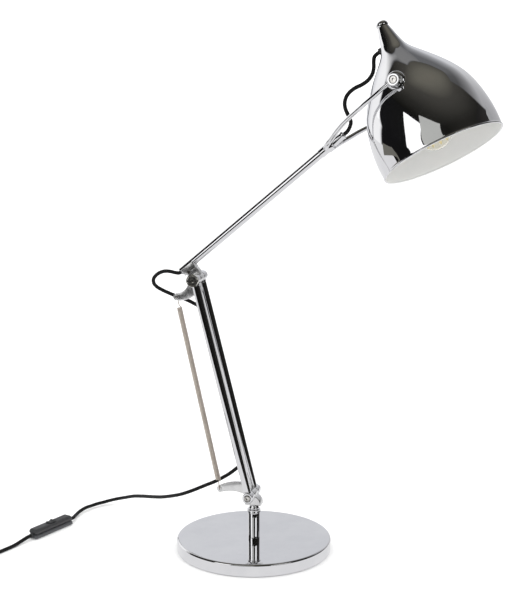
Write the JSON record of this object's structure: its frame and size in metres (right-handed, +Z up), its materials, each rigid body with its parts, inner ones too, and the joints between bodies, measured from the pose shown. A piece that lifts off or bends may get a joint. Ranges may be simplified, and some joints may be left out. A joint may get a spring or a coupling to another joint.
{
  "type": "adjustable table lamp",
  "caption": "Adjustable chrome table lamp with a weighted round base, two jointed arms, a balance spring, a forked yoke, a bell shade and a cord with an inline switch.",
  "frame": {"origin": "centre of the underside of the base, on the table", "axes": "+Z up; the arms swing in the XZ plane with the shade towards +X; -Y is the side of the socket-head bolts"},
  "size_m": [0.713, 0.2945, 0.6766],
  "materials": {
    "chrome": "mirror chrome plating",
    "bright_steel": "bright zinc plate",
    "dark_steel": "blackened steel",
    "spring_wire": "nickel plated spring wire",
    "iron": "cast iron weight",
    "pad_rubber": "foam rubber pad",
    "grommet_rubber": "soft rubber rings",
    "washer_plastic": "slippery plastic",
    "cord_plastic": "black flexible sheath",
    "switch_plastic": "charcoal moulded plastic",
    "white_lining": "white enamel",
    "holder_plastic": "white moulded plastic",
    "nipple_brass": "plain brass",
    "bulb_glass": "clear glass"
  },
  "bodies": {
    "base": {"base_cover": "chrome", "base_weight": "iron", "base_pad": "pad_rubber", "post": "chrome", "post_washer": "bright_steel", "post_nut": "bright_steel", "swivel_grub": "dark_steel", "mains_cord_lay": "cord_plastic", "switch_lower": "switch_plastic", "switch_upper": "switch_plastic", "switch_reliefs": "switch_plastic", "mains_cord_tail": "cord_plastic", "cord_coil": "cord_plastic", "cord_tie": "cord_plastic", "plug_relief": "switch_plastic", "plug_body": "switch_plastic", "plug_pins": "bright_steel"},
    "rocker": {"switch_rocker": "switch_plastic"},
    "head": {"swivel_stem": "chrome", "head_casting": "chrome"},
    "lower_arm": {"foot_bolt": "bright_steel", "foot_cap_nut": "chrome", "foot_washers": "washer_plastic", "foot_eyes": "chrome", "lower_tube_near": "chrome", "lower_tube_far": "chrome", "top_eyes": "chrome", "cable_grommet_in": "grommet_rubber", "cable_grommet_out": "grommet_rubber", "lower_arm_cable": "cord_plastic", "elbow_bolt": "dark_steel", "elbow_cap_nut": "chrome", "elbow_washers": "washer_plastic", "balance_spring": "spring_wire", "elbow_cable": "cord_plastic", "mains_cord_drop": "cord_plastic"},
    "upper_arm": {"elbow_casting": "chrome", "saddle_screw": "dark_steel", "upper_tube": "chrome", "upper_tube_bush": "grommet_rubber", "upper_arm_cable": "cord_plastic"},
    "yoke": {"yoke_sleeve": "chrome", "yoke_grub": "dark_steel", "yoke_rod_near": "chrome", "yoke_rod_far": "chrome", "shade_cable": "cord_plastic"},
    "shade": {"pivot_screws": "bright_steel", "pivot_bosses": "chrome", "shade_shell": "chrome", "shade_lining": "white_lining", "tip_cap": "chrome", "holder_nipple": "nipple_brass", "lampholder": "holder_plastic", "holder_ring": "holder_plastic", "bulb_cap": "bright_steel", "bulb_glass": "bulb_glass", "shade_grommet": "grommet_rubber"}
  },
  "joints": [
    {"name": "base_swivel", "type": "hinge", "parent": "base", "child": "head", "pos_m": [0, 0, 0.05], "axis": [0, 0, 1], "range_deg": [-75, 75], "deforming": ["mains_cord_lay"]},
    {"name": "lower_arm_tilt", "type": "hinge", "parent": "head", "child": "lower_arm", "pos_m": [-0.003, 0, 0.074], "axis": [0, 1, 0], "range_deg": [-15, 35], "deforming": ["balance_spring", "mains_cord_drop"]},
    {"name": "elbow_tilt", "type": "hinge", "parent": "lower_arm", "child": "upper_arm", "pos_m": [-0.07414, 0, 0.35514], "axis": [0, 1, 0], "range_deg": [-30, 40], "deforming": ["balance_spring", "elbow_cable"]},
    {"name": "yoke_swivel", "type": "hinge", "parent": "upper_arm", "child": "yoke", "pos_m": [0.09582, 0, 0.52568], "axis": [0.7604, 0, 0.6494], "range_deg": [-90, 90]},
    {"name": "shade_tilt", "type": "hinge", "parent": "yoke", "child": "shade", "pos_m": [0.19558, -0.002, 0.5992], "axis": [0.1428, 0.9755, -0.1672], "range_deg": [-60, 18], "deforming": ["shade_cable"]},
    {"name": "switch_rock", "type": "hinge", "parent": "base", "child": "rocker", "pos_m": [-0.281, -0.0129, 0.0104], "axis": [-0.9466, 0.3223, 0], "range_deg": [0, 12]}
  ]
}
